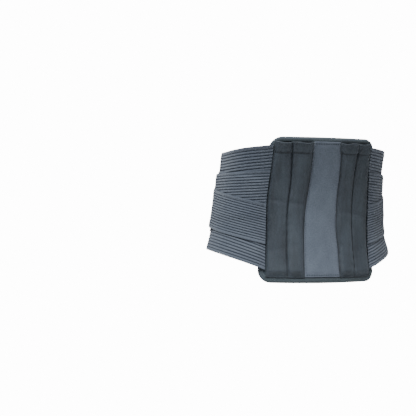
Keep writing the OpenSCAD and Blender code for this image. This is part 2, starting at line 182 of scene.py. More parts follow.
def lower_top(a):
    front = smooth((a - WIDEST) / (LOOP_HALF - WIDEST))
    return np.where(a < WIDEST, mix(40.0, 66.0, side_ease(a)), mix(66.0, VEE_Z - 5, front))


SLANT_FROM = LOOP_HALF - 42
SEWN_MID, SEWN_MID_Z = LOOP_HALF - 7, -16.0


def sewn_end(z):
    return SEWN_MID + END_SLANT * (z - SEWN_MID_Z)


def left_warp(s, z):
    """The wing's first 30 mm follow the pocket's slanted edge."""
    k = np.clip((s - ROOT_S) / 30.0, 0, 1)
    return s + (root(z) - ROOT_S) * (1 - k)


def right_warp(s, z):
    """As left_warp, and the right wing's last stretch follows the slanted edge where the flap is sewn on."""
    slant = SLANT_FROM + (s - SLANT_FROM) * (sewn_end(z) - SLANT_FROM) / (SEWN_MID - SLANT_FROM)
    return np.where(s < SLANT_FROM, left_warp(s, z), slant)


def lift(a):
    return LIFT * smooth((a - SLANT_FROM + LIFT_RAMP) / LIFT_RAMP)


def flat_rise(a):
    return 0.0 * a


def flap_root(z):
    return 2 * LOOP_HALF - sewn_end(z) - JOINT_GAP


# ---- Meshes ----

def make_object(name, verts, faces, attributes):
    """A mesh object from vertices in metres and a list or array of faces, turned to face outward."""
    me = bpy.data.meshes.new(name)
    me.from_pydata(np.asarray(verts).tolist(), [], [list(map(int, f)) for f in faces])
    me.calc_loop_triangles()
    tri = np.zeros(len(me.loop_triangles) * 3, np.int32)
    me.loop_triangles.foreach_get("vertices", tri)
    t = np.asarray(verts)[tri.reshape(-1, 3)]
    volume = float(np.einsum("ij,ij->i", t[:, 0], np.cross(t[:, 1], t[:, 2])).sum())
    if volume < 0:
        me.flip_normals()
    for key, (kind, values) in attributes.items():
        attribute = me.attributes.new(key, kind, "POINT")
        field = "vector" if kind == "FLOAT_VECTOR" else "value"
        attribute.data.foreach_set(field, np.asarray(values, np.float32).ravel())
    me.polygons.foreach_set("use_smooth", [True] * len(me.polygons))
    me.update()
    ob = bpy.data.objects.new(name, me)
    bpy.context.scene.collection.objects.link(ob)
    return ob


def grid_faces(ns, nt, offset=0):
    i, j = np.meshgrid(np.arange(ns - 1), np.arange(nt - 1), indexing="ij")
    a = (offset + i * nt + j).ravel()
    return np.stack([a, a + nt, a + nt + 1, a + 1], 1)


def edge_loop(ns, nt):
    """Indices of a grid's border, in order round it."""
    return np.concatenate([
        np.arange(ns) * nt,
        (ns - 1) * nt + np.arange(1, nt),
        np.arange(ns - 2, -1, -1) * nt + nt - 1,
        np.arange(nt - 2, 0, -1)])


INNER_RIB, EDGE_SHARE = 0.45, 0.2


def closed_sheet(name, u, z, d_out, d_in, side=1, rib=None):
    """A sheet with thickness between two layers over a grid of places (u, z).

    rib is kept for the material, which darkens the cloth by it, partly as painted shade: how far up a rib, or how
    far from a seam, each place is."""
    ns, nt = u.shape
    verts = np.concatenate([place(u, z, d_out, side).reshape(-1, 3), place(u, z, d_in, side).reshape(-1, 3)])
    n = ns * nt
    loop = edge_loop(ns, nt)
    after = np.roll(loop, -1)
    faces = np.concatenate([
        grid_faces(ns, nt),
        grid_faces(ns, nt, n)[:, ::-1],
        np.stack([loop, loop + n, after + n, after], 1)])
    cloth = np.stack([u * MM, z * MM, 0 * u], -1).reshape(-1, 3)
    attributes = {"cloth": ("FLOAT_VECTOR", np.concatenate([cloth, cloth]))}
    if rib is not None:
        flat = np.broadcast_to(rib, u.shape).ravel()
        attributes["rib"] = ("FLOAT", np.concatenate([flat, 0 * flat + INNER_RIB]))
    return make_object(name, verts, faces, attributes)


def stations(start, end, step=4.0, fine_start=False, fine_end=False):
    """Places from start to end, closer together at an end that has a rolled edge."""
    n = max(2, int(round((end - start) / step)))
    out = list(np.linspace(start, end, n + 1))
    out += [start + x for x in ((0.15, 0.5, 1.1) if fine_start else (0.05,))]
    out += [end - x for x in ((0.15, 0.5, 1.1) if fine_end else (0.05,))]
    return np.array(sorted(out))


def roll(e, radius):
    """How much of a sheet's thickness is left at distance e from a rolled edge."""
    c = 1 - np.clip(e / radius, 0, 1)
    return mix(EDGE_SHARE, 1.0, np.sqrt(np.maximum(0, 1 - c * c)))


def ribs(count, low, high, height):
    """Rows across a ribbed band, as shares of its height, and how far each one is up a rib."""
    # one rib's profile: the share of its pitch, and the share of its height there
    phases = [(0.0, 0.0), (0.09, 0.06), (0.16, 0.45), (0.24, 0.85), (0.36, 0.98), (0.5, 1.0), (0.64, 0.98),
              (0.76, 0.85), (0.84, 0.45), (0.91, 0.06)]
    # the first rows here, and the last rows below, are coloured as if low on a rib: a painted line of shade along
    # each rolled edge
    rows = [(0.0, 0.25), (0.2 / height, 0.3), (0.6 / height, 0.55), (1.3 / height, 0.85), (low / height, 0.85)]
    margin = 0.6
    start, pitch = (low + margin) / height, (height - low - high - 2 * margin) / height / count
    for k in range(count):
        rows += [(start + (k + p) * pitch, v) for p, v in phases]
    rows += [(start + count * pitch, 0.0), (1 - high / height, 0.85), (1 - 1.3 / height, 0.85),
             (1 - 0.6 / height, 0.55), (1 - 0.2 / height, 0.3), (1.0, 0.25)]
    return np.array([r[0] for r in rows]), np.array([r[1] for r in rows])


RIB_DEPTH = 0.62
BAND_STEP, BAND_ROLL, LEAST_THICK = 4.0, 0.8, 0.25
SELVAGE, SELVAGE_SHARE = 5.0, 0.5
# a band comes out from under the pocket's edge over ROOT_EASE, and climbs over the loop cloth from CLIMB_FROM
ROOT_EASE, CLIMB_FROM, CLIMB = 14.0, 200.0, 32.0


def band(name, side, start, end, low, high, layer, sewn, count, selvages, warp=left_warp,
         rise=flat_rise, ends=(False, True), settle=None):
    """A band of ribbed elastic between two edges, pressed flat where it is sewn under the pocket."""
    s = stations(start, end, BAND_STEP, *ends)
    height = float(np.mean(high(s) - low(s)))
    t, rib = ribs(count, selvages[0], selvages[1], height)
    s2, t2 = s[:, None], t[None, :]
    z = mix(low(s2), high(s2), t2)
    u = warp(s2 + 0 * z, z)
    k = smooth((u - root(z)) / ROOT_EASE) if sewn else np.ones_like(u)
    sewn = sewn or layer
    # a band lies down on whatever is under it, until it has to climb over the loop cloth
    down = settle(u, z) * (1 - smooth((u - CLIMB_FROM) / CLIMB)) if settle else 0.0
    d_in = mix(sewn[0], layer[0] - down, k) + rise(u)
    d_out = mix(sewn[1], layer[1] - down, k) + rise(u)
    e = np.minimum(t2, 1 - t2) * height + 0 * u
    # the woven selvages are thinner than the ribbed middle
    d_out = d_in + (d_out - d_in) * mix(SELVAGE_SHARE, 1.0, smooth(e / SELVAGE))
    middle = (d_in + d_out) / 2
    soft = roll(e, BAND_ROLL)
    if ends[0]:
        soft = np.minimum(soft, roll(s2 - start + 0 * u, BAND_ROLL))
    if ends[1]:
        soft = np.minimum(soft, roll(end - s2 + 0 * u, BAND_ROLL))
    groove = RIB_DEPTH * (1 - rib[None, :]) * np.minimum(1.0, 0.55 + 0.45 * k) * (e > 1.0)
    d_out = np.maximum(middle + (d_out - middle) * soft - groove, d_in + LEAST_THICK)
    d_in = middle + (d_in - middle) * soft
    return closed_sheet(name, u, z, d_out, d_in, side, rib[None, :])


def stitches(name, u, z, d, side=1, pitch=3.3, length=2.2, radius=0.32):
    """A row of thread stitches along a path on the belt, given as arrays of places."""
    path = place(u, z, d, side) / MM
    out = place(u, z, np.asarray(d) + 1.0, side) / MM - path
    gap = np.linalg.norm(np.diff(path, axis=0), axis=1)
    run = np.concatenate([[0], np.cumsum(gap)])
    count = max(1, int(run[-1] / pitch))
    verts, faces = [], []
    ring, profile = 6, [(-0.5, 0.35), (-0.32, 1.0), (0.32, 1.0), (0.5, 0.35)]
    for k in range(count):
        mid = (k + 0.5) * run[-1] / count
        jitter = RNG.normal(0, 0.06)
        p = np.array([np.interp(mid, run, path[:, i]) for i in range(3)])
        q = np.array([np.interp(min(run[-1], mid + 0.5), run, path[:, i]) for i in range(3)])
        r = np.array([np.interp(max(0, mid - 0.5), run, path[:, i]) for i in range(3)])
        n = np.array([np.interp(mid, run, out[:, i]) for i in range(3)])
        along = (q - r) / np.linalg.norm(q - r)
        n = n - (n @ along) * along
        n /= np.linalg.norm(n)
        across = np.cross(along, n)
        base = len(verts)
        for place_along, size in profile:
            centre = p + along * place_along * length + across * jitter - n * (1 - size) * radius * 0.9
            for m in range(ring):
                angle = 2 * math.pi * m / ring
                verts.append((centre + (across * math.cos(angle) + n * 0.8 * math.sin(angle)) * radius * size) * MM)
        for row in range(len(profile) - 1):
            for m in range(ring):
                a, b = base + row * ring + m, base + row * ring + (m + 1) % ring
                faces.append((a, b, b + ring, a + ring))
        faces.append([base + m for m in range(ring - 1, -1, -1)])
        faces.append([base + (len(profile) - 1) * ring + m for m in range(ring)])
    cloth = np.asarray(verts)
    return make_object(name, verts, faces, {"cloth": ("FLOAT_VECTOR", cloth)})


# ---- Materials ----

def linear(r, g, b):
    def one(c):
        c /= 255.0
        return c / 12.92 if c <= 0.04045 else ((c + 0.055) / 1.055)**2.4
    return (one(r), one(g), one(b), 1.0)


class Cloth:
    """One procedural material, laid out along the cloth or in the object's own space."""

    def __init__(self, name, rough, sheen=0.0, specular=0.35, metallic=0.0, space="cloth"):
        self.mat = bpy.data.materials.new(name)
        self.mat.use_nodes = True
        self.nodes, self.links = self.mat.node_tree.nodes, self.mat.node_tree.links
        self.bsdf = self.nodes["Principled BSDF"]
        for key, value in (("Roughness", rough), ("Specular IOR Level", specular), ("Metallic", metallic),
                           ("Sheen Weight", sheen), ("Sheen Roughness", 0.45), ("Sheen Tint", (0.75, 0.82, 0.9, 1))):
            self.bsdf.inputs[key].default_value = value
        if space == "cloth":
            self.space = self.node("Attribute", {}, attribute_name="cloth").outputs["Vector"]
        else:
            self.space = self.node("TexCoord", {}).outputs["Object"]
        self.height = None

    def node(self, kind, inputs, **settings):
        """A new node; each input is another node's socket or a plain value."""
        node = self.nodes.new("ShaderNode" + kind)
        for key, value in settings.items():
            setattr(node, key, value)
        for key, value in inputs.items():
            if isinstance(value, bpy.types.NodeSocket):
                self.links.new(value, node.inputs[key])
            else:
                node.inputs[key].default_value = value
        return node

    def noise(self, scale, detail=3.0, stretch=(1, 1, 1), rough=0.5):
        space = self.node("Mapping", {"Scale": stretch, "Vector": self.space}).outputs["Vector"]
        return self.node("TexNoise", {"Scale": scale, "Detail": detail, "Roughness": rough,
                                      "Vector": space}).outputs["Fac"]

    def threads(self, period_mm, direction, distortion=0.4):
        scale = 1 / (period_mm * MM) * 2 * math.pi / 20
        return self.node("TexWave", {"Scale": scale, "Distortion": distortion, "Detail": 1.0, "Vector": self.space},
                         wave_type="BANDS", bands_direction=direction).outputs["Fac"]

    def cells(self, scale):
        return self.node("TexVoronoi", {"Scale": scale, "Vector": self.space}).outputs["Distance"]

    def ramp(self, fac, stops):
        node = self.node("ValToRGB", {"Fac": fac})
        elements = node.color_ramp.elements
        while len(elements) > 1:
            elements.remove(elements[-1])
        elements[0].position, elements[0].color = stops[0]
        for position, colour in stops[1:]:
            elements.new(position).color = colour
        return node.outputs["Color"]

    def grey(self, fac, low, high, a=0.0, b=1.0):
        return self.ramp(fac, [(a, (low, low, low, 1)), (b, (high, high, high, 1))])

    def times(self, a, b):
        return self.node("Mix", {"Factor": 1.0, 6: a, 7: b}, data_type="RGBA", blend_type="MULTIPLY").outputs[2]

    def shade(self, colour, fac, low, high, a=0.0, b=1.0):
        """The colour, darkened to low and lightened to high as fac goes from a to b."""
        return self.times(colour, self.grey(fac, low, high, a, b))

    def attribute(self, name):
        return self.node("Attribute", {}, attribute_name=name).outputs["Fac"]

    def bump(self, fac, distance_mm, strength=1.0):
        node = self.node("Bump", {"Distance": distance_mm * MM, "Strength": strength, "Height": fac})
        if self.height is not None:
            self.links.new(self.height, node.inputs["Normal"])
        self.height = node.outputs["Normal"]
        self.links.new(self.height, self.bsdf.inputs["Normal"])

    def colour(self, socket):
        self.links.new(socket, self.bsdf.inputs["Base Color"])
        return self.mat


def elastic_material():
    m = Cloth("ribbed_elastic", 0.82, sheen=0.25, specular=0.25)
    rib = m.attribute("rib")
    # the grooves are darker partly for their own yarn and partly as painted shade in them; the low values at the
    # band's edges paint a line of shade
    colour = m.ramp(rib, [(0.0, linear(46, 54, 67)), (0.3, linear(63, 72, 86)),
                          (0.6, linear(92, 102, 116)), (1.0, linear(113, 123, 137))])
    threads = m.threads(0.85, "X", 1.2)
    fleck = m.noise(900, 2.0, (1.0, 2.2, 1.0))
    drift = m.noise(38, 3.0, (0.5, 1.0, 1.0))
    colour = m.shade(colour, threads, 0.86, 1.06)
    colour = m.shade(colour, fleck, 0.80, 1.18, 0.25, 0.75)
    colour = m.times(colour, m.ramp(drift, [(0.3, (0.90, 0.90, 0.92, 1)), (0.7, (1.08, 1.06, 1.04, 1))]))
    m.bump(threads, 0.16)
    m.bump(fleck, 0.10)
    return m.colour(colour)


def velour_material(name, brushed_scale, low, high, speck_scale=None):
    m = Cloth(name, 0.92, sheen=0.55, specular=0.2)
    nap = m.noise(1400, 3.0)
    colour = m.ramp(m.noise(brushed_scale, 4.0, (1.0, 0.5, 1.0)), [(0.3, low), (0.7, high)])
    speck = m.noise(speck_scale, 2.0) if speck_scale else None
    if speck:
        colour = m.shade(colour, speck, 0.88, 1.12, 0.3, 0.7)
    colour = m.shade(colour, nap, 0.82, 1.16, 0.25, 0.75)
    m.bump(nap, 0.22)
    if speck:
        m.bump(speck, 0.12)
    return m.colour(colour)


def pocket_material():
    m = Cloth("pocket_cloth", 0.58, sheen=0.2, specular=0.4)
    knit_x, knit_y = m.threads(0.9, "X", 0.3), m.threads(0.7, "Y", 0.3)
    drift = m.noise(26, 4.0, (1.0, 0.35, 1.0))
    fleck = m.noise(700, 2.0)
    streak = m.noise(75, 2.0, (1.0, 0.12, 1.0))
    colour = m.ramp(drift, [(0.28, linear(50, 59, 69)), (0.72, linear(70, 81, 92))])
    colour = m.shade(colour, streak, 0.80, 1.18, 0.3, 0.7)
    colour = m.shade(colour, fleck, 0.80, 1.18, 0.3, 0.7)
    # painted shade beside the pocket's seams, carried by the rib attribute
    colour = m.shade(colour, m.attribute("rib"), 0.42, 1.0, 0.0, 0.9)
    m.bump(knit_x, 0.10)
    m.bump(knit_y, 0.10)
    m.bump(m.noise(90, 3.0, (1.0, 0.35, 1.0)), 0.8, 0.5)
    return m.colour(colour)


def loop_material():
    m = Cloth("loop_cloth", 0.95, sheen=0.35, specular=0.15)
    curls = m.noise(520, 4.0, rough=0.65)
    tufts = m.cells(480)
    drift = m.noise(30, 3.0)
    colour = m.ramp(curls, [(0.32, linear(44, 56, 61)), (0.5, linear(60, 74, 80)), (0.7, linear(92, 106, 110))])
    colour = m.shade(colour, drift, 0.92, 1.08, 0.3, 0.7)
    m.bump(curls, 0.5)
    m.bump(tufts, 0.25)
    return m.colour(colour)


def plain_material(name, low, high, rough, scale=600, bump=0.12, threads=None, space="cloth", **more):
    m = Cloth(name, rough, space=space, **more)
    grain = m.noise(scale, 3.0)
    colour = m.ramp(grain, [(0.3, low), (0.7, high)])
    if threads:
        lines = m.threads(threads[0], threads[1], 0.3)
        colour = m.shade(colour, lines, 0.82, 1.08)
        m.bump(lines, bump)
    m.bump(grain, bump)
    return m.colour(colour)


def hook_material():
    m = Cloth("hook_tape", 0.6, specular=0.4)
    hooks = m.cells(760)
    colour = m.ramp(hooks, [(0.1, linear(84, 88, 94)), (0.5, linear(40, 44, 50))])
    m.bump(hooks, 0.7)
    return m.colour(colour)


def metal_material():
    m = Cloth("stay_metal", 0.34, specular=0.5, metallic=1.0, space="object")
    brushed = m.noise(900, 3.0, (1.0, 1.0, 0.02))
    colour = m.ramp(brushed, [(0.3, linear(178, 180, 184)), (0.7, linear(204, 205, 208))])
    m.bump(brushed, 0.03)
    m.links.new(m.grey(m.noise(120), 0.26, 0.42), m.bsdf.inputs["Roughness"])
    return m.colour(colour)


MATERIALS = {
    "elastic": elastic_material(),
    "velour": velour_material("velour", 55, linear(98, 108, 123), linear(108, 119, 134), 420),
    "flap_velour": velour_material("flap_velour", 48, linear(99, 113, 134), linear(108, 122, 144)),
    "pocket": pocket_material(),
    "loop": loop_material(),
    "binding": plain_material("binding", linear(71, 83, 91), linear(87, 99, 107), 0.75, threads=(1.1, "X"),
                              sheen=0.2),
    "pad": plain_material("pad_cover", linear(54, 65, 73), linear(68, 80, 89), 0.7, space="object", sheen=0.2),
    "liner": plain_material("liner", linear(62, 68, 76), linear(78, 85, 94), 0.9, 900, 0.2, (1.2, "Y"), sheen=0.4),
    "thread": plain_material("thread", linear(36, 43, 52), linear(52, 60, 70), 0.6, 2000, 0.05),
    "hook": hook_material(),
    "metal": metal_material(),
    "dip": plain_material("tip_dip", linear(20, 21, 23), linear(34, 35, 38), 0.42, 300, 0.05, space="object",
                          specular=0.5),
}


def finish_piece(ob, kind, body=None, bend=None, nodes=()):
    ob.data.materials.clear()
    ob.data.materials.append(MATERIALS[kind])
    if bend:
        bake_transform(ob)
    else:
        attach(ob, body)
    if nodes:
        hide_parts(*nodes)
    return ob


def sew(name, u, z, d, side=1, body="back_panel", bend=None, **thread):
    finish_piece(stitches(name, u, z, d, side, **thread), "thread", body, bend)


def bend_at(a, b, u0, u1, side, z=0.0, d=2.0, turn=None):
    """The two bodies and the two points of a bend that runs along the loop from u0 to u1.

    turn sets the bend's direction in plan, for a piece that comes back round the loop past the bend."""
    p, q = place(u0, z, d, side), place(u1, z, d, side)
    if turn is not None:
        way = np.array([side * math.cos(turn), -math.sin(turn), 0.0])
        q = p + way * ((q - p) @ way)
    return a, b, tuple(p), tuple(q)


# ---- Back panel ----

def pad_rows(inset, arc_steps=8, step=6.0):
    straight, r = PANEL_H / 2 - PAD_CORNER, PAD_CORNER - inset
    angles = np.linspace(0, math.pi / 2, arc_steps + 1)[:-1]
    n = int(2 * straight / step)
    return np.concatenate([-straight - r * np.cos(angles), np.linspace(-straight, straight, n + 1),
                           (straight + r * np.cos(angles))[::-1]])


PAD_FACE, PAD_BACK = -0.5, -8.0
PAD_INSET, PAD_RIM, RIM_SHARE = 1.6, 13.0, 0.45
PAD_VOXEL, PUFF_LIMIT, PUFF_FRAMES = 4.2, 2.2, 20


def make_pad():
    """The foam pad in its cover: blown up a little by a cloth simulation, and held flat under the pockets."""
    z = pad_rows(PAD_INSET)[None, :]
    s = np.sin(np.linspace(-math.pi / 2, math.pi / 2, 45))[:, None]
    edge = pad_edge(z, PAD_INSET)
    u = s * edge
    z2 = z + 0 * u
    # distance from the outline, for the rounding of the rim
    e = np.minimum(edge - np.abs(u), PANEL_H / 2 - PAD_INSET - np.abs(z2))
    rim = np.sqrt(np.clip(1 - (1 - np.clip(e / PAD_RIM, 0, 1))**2, 0, 1))
    middle = (PAD_FACE + PAD_BACK) / 2
    half = (PAD_FACE - PAD_BACK) / 2 * mix(RIM_SHARE, 1.0, rim)
    ob = closed_sheet("pad_body", u, z2, middle + half, middle - half)
    bpy.context.view_layer.objects.active = ob
    ob.select_set(True)
    remesh = ob.modifiers.new("remesh", "REMESH")
    remesh.mode, remesh.voxel_size = "VOXEL", PAD_VOXEL * MM
    bpy.ops.object.modifier_apply(modifier="remesh")
    rest = np.zeros(len(ob.data.vertices) * 3)
    ob.data.vertices.foreach_get("co", rest)
    rest = rest.reshape(-1, 3)
    cloth = ob.modifiers.new("cloth", "CLOTH")
    cloth.settings.use_pressure = True
    cloth.settings.uniform_pressure_force = 4.0
    cloth.settings.effector_weights.gravity = 0.0
    cloth.settings.quality = 5
    cloth.settings.tension_stiffness = 18
    cloth.settings.mass = 0.25
    cloth.point_cache.frame_start, cloth.point_cache.frame_end = 1, PUFF_FRAMES
    for f in range(1, PUFF_FRAMES + 1):
        bpy.context.scene.frame_set(f)
    moved = np.zeros(rest.size)
    evaluated = ob.evaluated_get(bpy.context.evaluated_depsgraph_get())
    evaluated.data.vertices.foreach_get("co", moved)
    moved = moved.reshape(-1, 3)
    ob.modifiers.remove(cloth)
    bpy.context.scene.frame_set(1)
    shift = moved - rest
    length = np.linalg.norm(shift, axis=1)
    shift *= np.minimum(1.0, PUFF_LIMIT * MM / np.maximum(length, 1e-9))[:, None]
    co = rest + shift
    # the outer face stays under the pockets and the strip
    x, y, zz = co[:, 0] / MM, co[:, 1] / MM, co[:, 2] / MM
    angle = np.arctan2(x, y - BACK_CY)
    out = np.hypot(x, y - BACK_CY) - BACK_RADIUS
    tilt = np.arctan((zz - LUMBAR_Z) / np.sqrt(LUMBAR_RADIUS**2 - (zz - LUMBAR_Z)**2))
    d = (out - hollow(zz)) * np.cos(tilt)
    excess = np.maximum(0, d - PAD_FACE)
    co[:, 0] -= np.sin(angle) * excess * MM
    co[:, 1] -= np.cos(angle) * excess * MM
    ob.data.vertices.foreach_set("co", co.ravel())
    smoothing = ob.modifiers.new("subdivide", "SUBSURF")
    smoothing.levels = smoothing.render_levels = 1
    bpy.ops.object.modifier_apply(modifier="subdivide")
    ob.data.polygons.foreach_set("use_smooth", [True] * len(ob.data.polygons))
    return ob


def make_liner(pad):
    """The liner lies on the pad's inner face, wherever that is."""
    bpy.context.view_layer.update()
    tree = BVHTree.FromObject(pad, bpy.context.evaluated_depsgraph_get())
    inset, probe_from, probe_to = 3.2, -24.0, -10.0
    z = pad_rows(inset, 6, 8.0)[None, :]
    s = np.linspace(-1, 1, 33)[:, None]
    u = s * pad_edge(z, inset)
    z2 = z + 0 * u
    start = place(u, z2, probe_from)
    toward = place(u, z2, probe_to) - start
    d = np.full(u.shape, PAD_BACK - 0.2)
    for i in range(u.shape[0]):
        for j in range(u.shape[1]):
            hit = tree.ray_cast(Vector(start[i, j]), Vector(toward[i, j]).normalized())
            if hit[0] is not None:
                d[i, j] = probe_from + hit[3] / MM
    # the strip's side seams show through as two low ridges
    quilt = 0.5 * bell(np.abs(u) - STRIP_HALF_FOOT, 2.2)
    return closed_sheet("pad_liner", u, z2, d + 0.25 + quilt, d - 0.55 + quilt)


def pad_outline(inset=0.0, step=6.0):
    rows = pad_rows(inset)
    edge = pad_edge(rows, inset)
    n = max(4, int(2 * edge[-1] / step))
    top = np.linspace(edge[-1], -edge[-1], n + 1)[1:-1]
    foot = np.linspace(-edge[0], edge[0], n + 1)[1:-1]
    u = np.concatenate([edge, top, -edge[::-1], foot])
    z = np.concatenate([rows, 0 * top + rows[-1], rows[::-1], 0 * foot + rows[0]])
    return u, z


def make_binding():
    """A tape folded over the pad's edge, swept round its outline."""
    u, z = pad_outline()
    tu, tz = np.roll(u, -1) - np.roll(u, 1), np.roll(z, -1) - np.roll(z, 1)
    size = np.hypot(tu, tz)
    nu, nz = tz / size, -tu / size
    # the tape's closed section: how far past the outline, and how far outward
    section = [(-6.5, 0.1), (-4.5, 0.15), (-2.2, 0.0), (-0.4, -0.5), (1.2, -1.4), (2.1, -2.6), (2.4, -4.2),
               (2.1, -5.8), (1.2, -7.2), (-0.4, -8.3), (-2.2, -8.9), (-4.5, -9.2), (-6.5, -9.1),
               (-6.5, -8.0), (-3.0, -7.6), (0.2, -6.0), (0.8, -4.2), (0.2, -2.4), (-3.0, -1.0), (-6.5, -0.7)]
    m, k = len(u), len(section)
    pu = np.array([[u[i] + nu[i] * c[0] for c in section] for i in range(m)])
    pz = np.array([[z[i] + nz[i] * c[0] for c in section] for i in range(m)])
    pd = np.array([[c[1] for c in section]] * m)
    verts = place(pu, pz, pd).reshape(-1, 3)
    faces = [(i * k + c, ((i + 1) % m) * k + c, ((i + 1) % m) * k + (c + 1) % k, i * k + (c + 1) % k)
             for i in range(m) for c in range(k)]
    run = np.concatenate([[0], np.cumsum(size[:-1] / 2)])
    cloth = np.stack([np.repeat(run[:, None], k, 1), np.tile([c[0] for c in section], (m, 1)), pd], -1) * MM
    return make_object("pad_binding", verts, faces, {"cloth": ("FLOAT_VECTOR", cloth.reshape(-1, 3))})


pad = make_pad()
finish_piece(pad, "pad", "back_panel", nodes=("foam_pad", "back_cover"))
finish_piece(make_liner(pad), "liner", "back_panel", nodes=("inner_liner",))
finish_piece(make_binding(), "binding", "back_panel", nodes=("edge_binding",))
u, z = pad_outline()
u, z = np.append(u, u[0]), np.append(z, z[0])
STITCH_INSET = 4.6
shrink = 1 - STITCH_INSET / np.hypot(u, z)
sew("pad_binding_stitches", u * shrink, z * shrink, 0.18)

STRIP_FOOT, STRIP_TOP, STRIP_HEM = -113.0, 116.0, 3.5
STRIP_BASE, STRIP_FACE = 0.6, 1.4


def make_strip():
    s = np.concatenate([[-1, -0.985, -0.96], np.linspace(-0.92, 0.92, 15), [0.96, 0.985, 1]])[:, None]
    z = stations(STRIP_FOOT, STRIP_TOP, 3.0, True, True)[None, :]
    u = s * np.where(s > 0, strip_left(z), strip_right(z))
    z2 = z + 0 * u
    e = np.minimum((1 - np.abs(s)) * 26, np.minimum(z2 - STRIP_FOOT, STRIP_TOP - z2))
    dent = 0.35 * (bell(z2 - STRIP_FOOT - STRIP_HEM) + bell(STRIP_TOP - z2 - STRIP_HEM))
    crown = 0.9 * (1 - (np.abs(s) + 0 * z2)**4) * smooth(e / 10)
    top = STRIP_FACE + crown - dent
    return closed_sheet("centre_strip", u, z2, mix(STRIP_BASE, top, roll(e, 0.9)), 0.1 + 0 * u)


finish_piece(make_strip(), "velour", "back_panel", nodes=("center_strip",))
for name, height in (("top", STRIP_TOP - STRIP_HEM), ("foot", STRIP_FOOT + STRIP_HEM)):
    u = np.linspace(1.5 - strip_right(height), strip_left(height) - 1.5, 30)
    sew(f"strip_{name}_stitches", u, height + 0 * u, STRIP_FACE, pitch=4.2, length=2.8, radius=0.65)
for side, name in SIDES:
    z = np.linspace(STRIP_FOOT + 6, STRIP_TOP - 6, 60)
    sew(f"strip_{name}_side_stitches", strip_edge(z, side) - 1.8, z, 1.35, side)

POCKET_FOOT, POCKET_TOP, POCKET_THICK = -114.0, 116.5, 1.05
HEM = 19.0


def pocket_seam(z, side):
    """Where the seam between a side's two channels runs."""
    if side > 0:
        return mix(61.0, 56.2, smooth((z + 10) / 70)) - 1.2 * smooth((-z - 65) / 40)
    return mix(59.8, 55.8, smooth((z + 90) / 110))


def pocket_height(u, z, side):
    """How far the pocket cloth stands out: flat along its seams, and full over the stays."""
    inner, outer, seam = strip_edge(z, side) + 0.6, pocket_edge(z), pocket_seam(z, side)
    from_inner, from_outer, from_seam = u - inner, outer - u, np.abs(u - seam)
    rise = smooth(from_inner / 6.5) * smooth(from_outer / 6.5) * smooth((from_seam + 0.3) / 2.8)
    across = np.where(u < seam, from_inner / (seam - inner), from_outer / (outer - seam))
    belly = np.sin(np.clip(across, 0, 1) * math.pi)
    from_foot, from_top = z - POCKET_FOOT, POCKET_TOP - z
    sewn_foot = smooth((from_foot - 2.0) / 9.0)
    # puckers beside the seams, deeper near the foot
    phase = 1.7 * side
    nearest = np.minimum(np.minimum(from_inner, from_outer), from_seam)
    pucker = bell(nearest, 6.5) * (0.22 + 0.25 * smooth((40 - from_foot) / 40))
    ripple = np.sin(z / 3.1 + 2.0 * np.sin(z / 17.0 + phase) + u / 9.0) * pucker
    # creases across the channels where the panel is hollow, and long soft dents
    crease = -0.8 * bell(z - 4 - 0.16 * u * side, 4.0) - 0.45 * bell(z + 52 + 0.2 * u, 6.0)
    crease = crease - 0.3 * bell(z - 58 + 0.12 * u, 7.0)
    drift = 0.22 * np.sin(z / 29.0 + u / 15.0 + phase) + 0.15 * np.sin(z / 13.0 - u / 11.0)
    hem_dent = 0.75 * bell(from_top - HEM, 1.1)
    hem = 0.55 * smooth((HEM - from_top) / 1.2)
    gape = 0.5 * smooth((8 - from_top) / 8.0) * rise
    return (1.45 + (3.35 * rise + 1.3 * belly) * sewn_foot + hem - hem_dent + gape
            + (crease + drift) * rise * smooth(from_foot / 12) + ripple)


def pocket_mouth(u, side):
    """The channels' mouths dip between their seams."""
    phase = 0.5 if side > 0 else 0.9
    return -1.44 * np.sin(np.clip((u - 24) / 60, 0, 1) * 2 * math.pi + phase)**2


def make_pocket(side, name):
    t = np.concatenate([[0, 0.003, 0.01, 0.02], np.linspace(0.03, 0.97, 92), [0.98, 0.99, 0.997, 1]])[None, :]
    s = np.concatenate([[0, 0.006, 0.018], np.linspace(0.035, 0.965, 50), [0.982, 0.994, 1]])[:, None]
    z = mix(POCKET_FOOT, POCKET_TOP, t) + 0 * s
    u = mix(strip_edge(z, side) + 0.6, pocket_edge(z), s)
    z = z + pocket_mouth(u, side) * smooth((z - POCKET_TOP + 14) / 14)
    # the outer edge is drawn in a little between its stitches
    u = u + (0.21 * np.sin(z / 6.3) - 0.2) * smooth((s - 0.9) / 0.1)
    top = pocket_height(u, mix(POCKET_FOOT, POCKET_TOP, t) + 0 * s, side)
    e = np.minimum(np.minimum(s, 1 - s) * 65, np.minimum(t, 1 - t) * 230)
    soft = roll(e + 0 * u, 0.9)
    edges = np.maximum(0, np.minimum(u - strip_edge(z, side), pocket_edge(z) - u))
    middle = np.abs(u - pocket_seam(z, side))
    hem = np.abs(POCKET_TOP - z - HEM)
    # painted shade: the material darkens the cloth beside its seams, where the cloth sinks in
    seam = 1 - np.maximum(np.maximum(0.9 * bell(edges, 1.8), 0.75 * bell(middle, 1.3)),
                          0.7 * bell(hem, 1.1))
    return closed_sheet(name, u, z, top - 1.0 + soft, top - POCKET_THICK, side, seam)


